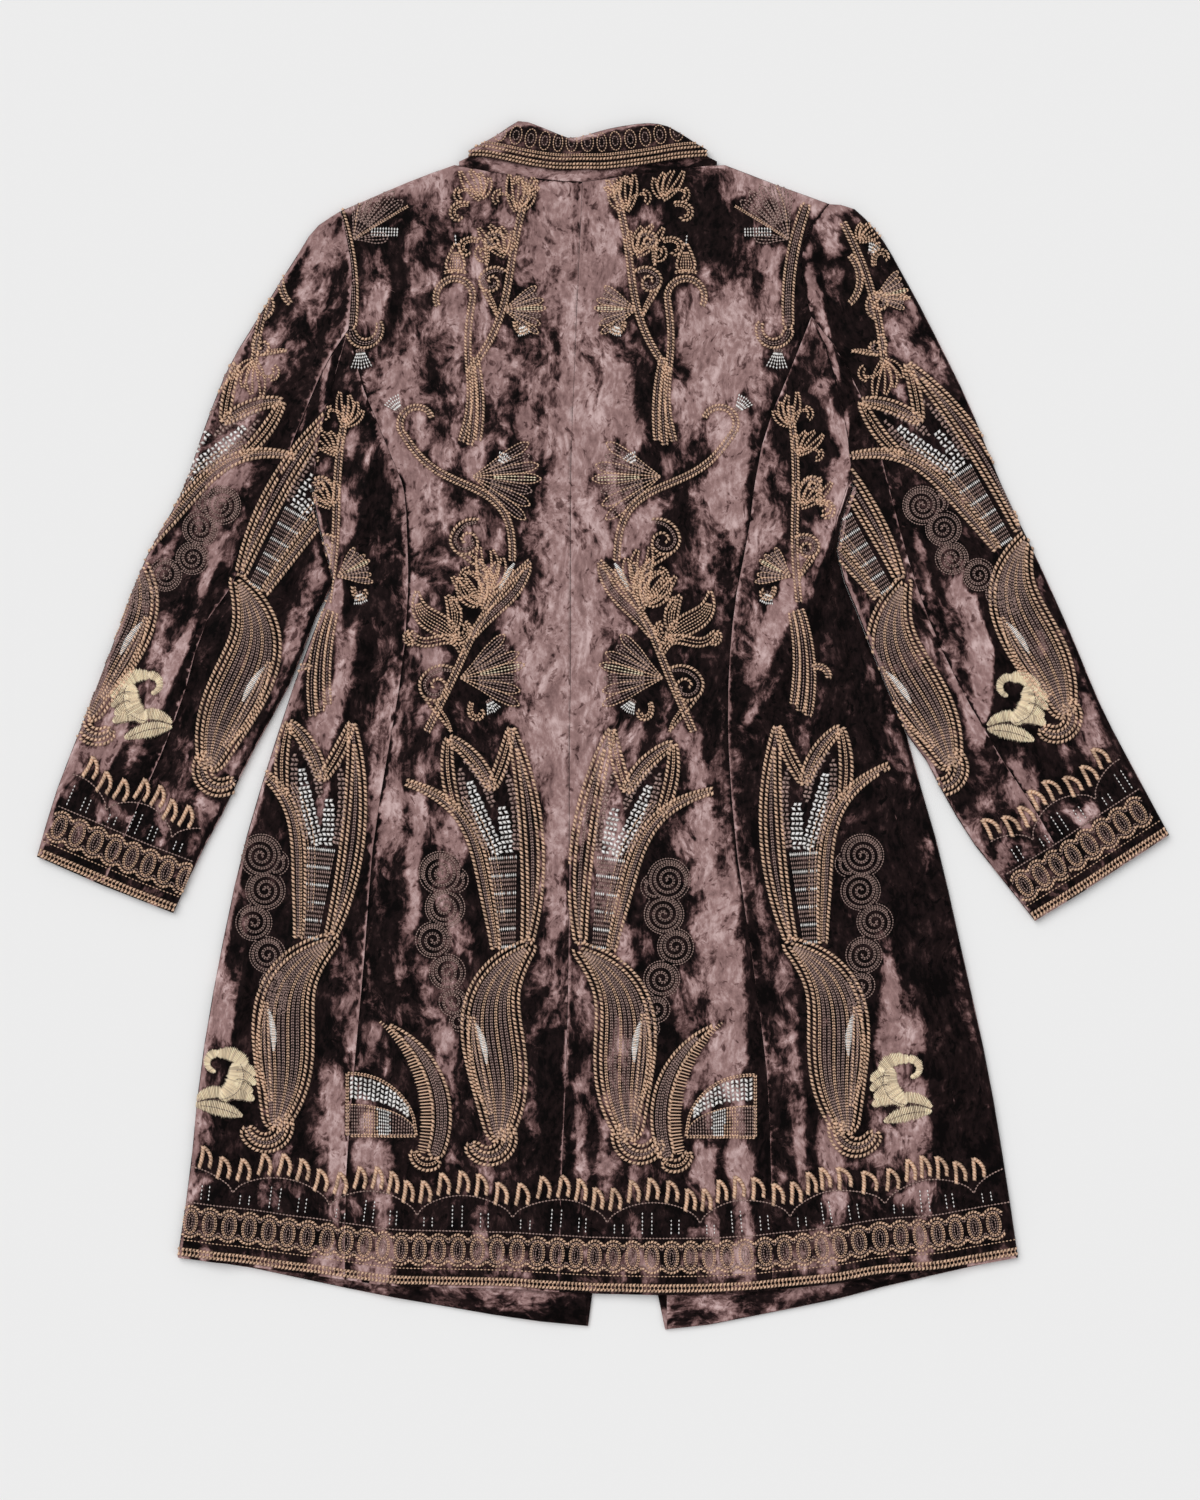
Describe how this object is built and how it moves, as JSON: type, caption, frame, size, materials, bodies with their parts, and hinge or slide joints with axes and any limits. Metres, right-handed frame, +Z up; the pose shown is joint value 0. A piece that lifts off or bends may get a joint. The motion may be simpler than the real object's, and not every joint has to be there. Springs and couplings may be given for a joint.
{
  "type": "embroidered velvet coat laid flat",
  "caption": "Knee-length panelled velvet coat with long sleeves and a turned-down collar, lying flat with its back uppermost.",
  "frame": {"origin": "centre of the coat's outline, on the surface that it lies on", "axes": "+Y from hem to collar, +X towards the wearer's right, +Z up out of the surface"},
  "size_m": [0.984, 1.0499, 0.0126],
  "materials": {
    "velvet": "crushed velvet, dark brown with mauve lights",
    "collar_velvet": "crushed velvet, mauve",
    "facing_velvet": "crushed velvet, plain"
  },
  "bodies": {
    "root": {"back_left": "velvet", "back_right": "velvet", "side_back_left": "velvet", "side_back_right": "velvet", "front_left": "velvet", "front_right": "velvet", "sleeve_left_upper": "velvet", "sleeve_left_under": "velvet", "sleeve_right_upper": "velvet", "sleeve_right_under": "velvet", "collar_stand": "collar_velvet", "collar_fall": "collar_velvet", "collar_front_left": "collar_velvet", "collar_front_right": "collar_velvet", "hem_facing_left": "facing_velvet", "hem_facing_right": "facing_velvet"}
  },
  "joints": []
}
